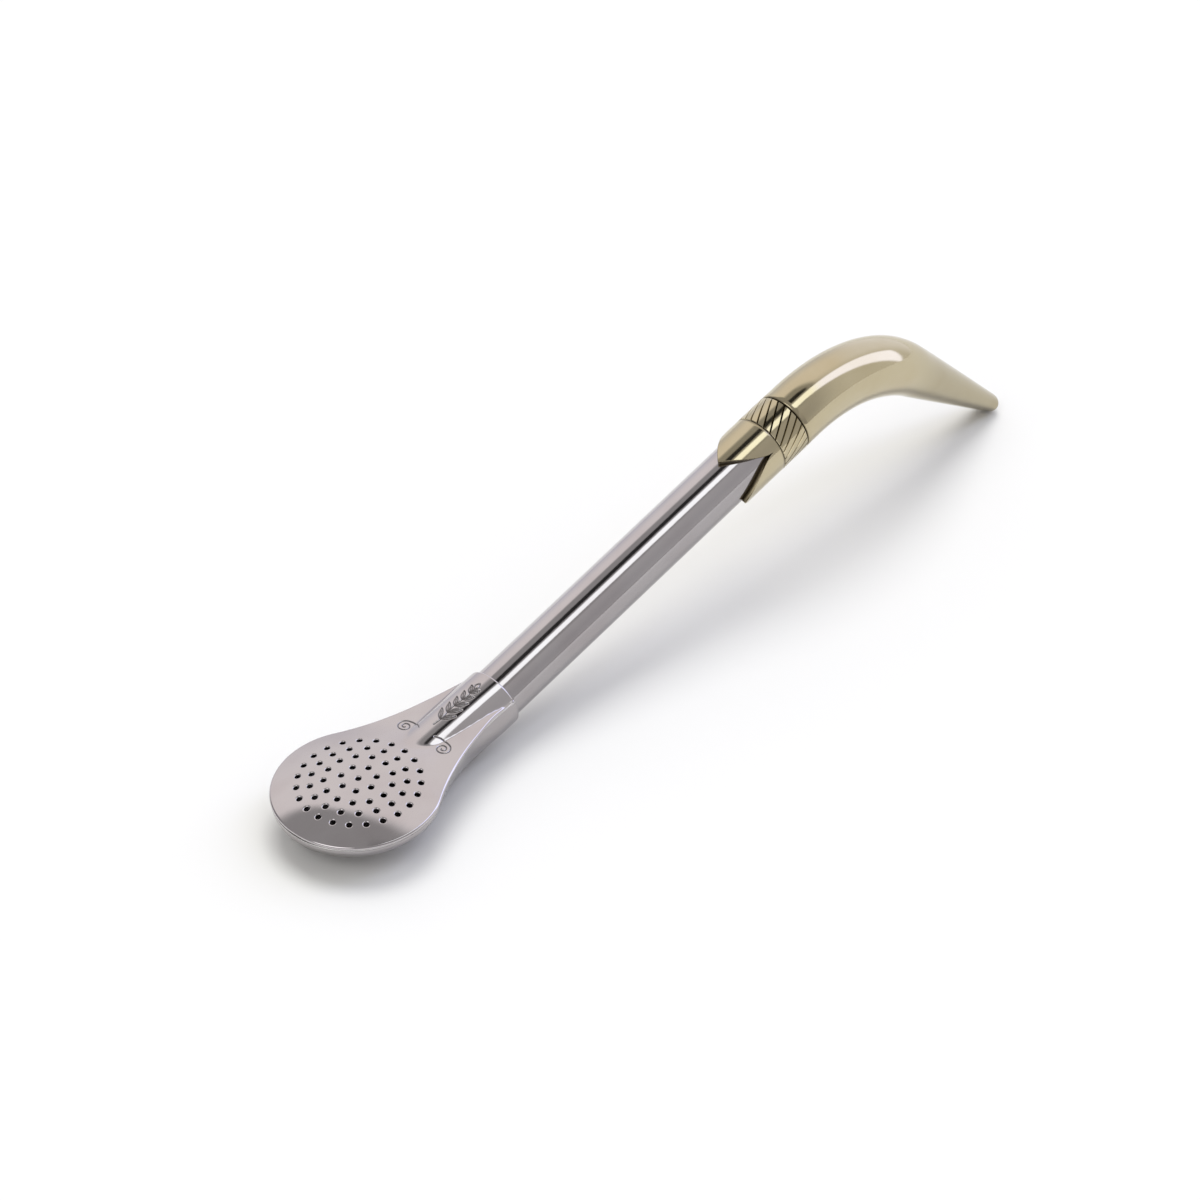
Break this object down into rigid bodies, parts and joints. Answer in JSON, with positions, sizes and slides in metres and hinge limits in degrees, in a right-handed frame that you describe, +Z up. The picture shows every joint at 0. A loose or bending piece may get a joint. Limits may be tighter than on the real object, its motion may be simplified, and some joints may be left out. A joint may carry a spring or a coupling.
{
  "type": "bombilla",
  "caption": "Spoon-type straw for drinking mate: a perforated strainer that pulls off a straight metal stem, with a petalled ferrule, an engraved band and a curved brass beak.",
  "frame": {"origin": "on the table under the middle of the part's box, as it rests on the back of the strainer and the tip of the beak", "axes": "+X along the part from the strainer to the beak, +Z up from the table, +Y across the strainer"},
  "size_m": [0.186, 0.03, 0.0358],
  "materials": {
    "nickel_silver": "polished",
    "silver_solder": "polished",
    "brass": "polished"
  },
  "bodies": {
    "strainer": {"strainer_plate": "nickel_silver", "strainer_bowl": "nickel_silver", "seam_solder": "silver_solder"},
    "straw": {"stem_tube": "nickel_silver", "petal_ferrule": "brass", "twist_band": "brass", "beak": "brass"}
  },
  "joints": [
    {"name": "stem_pull", "type": "slide", "parent": "strainer", "child": "straw", "axis": [0.9686, 0, 0.2487], "range_m": [0, 0.016]}
  ]
}
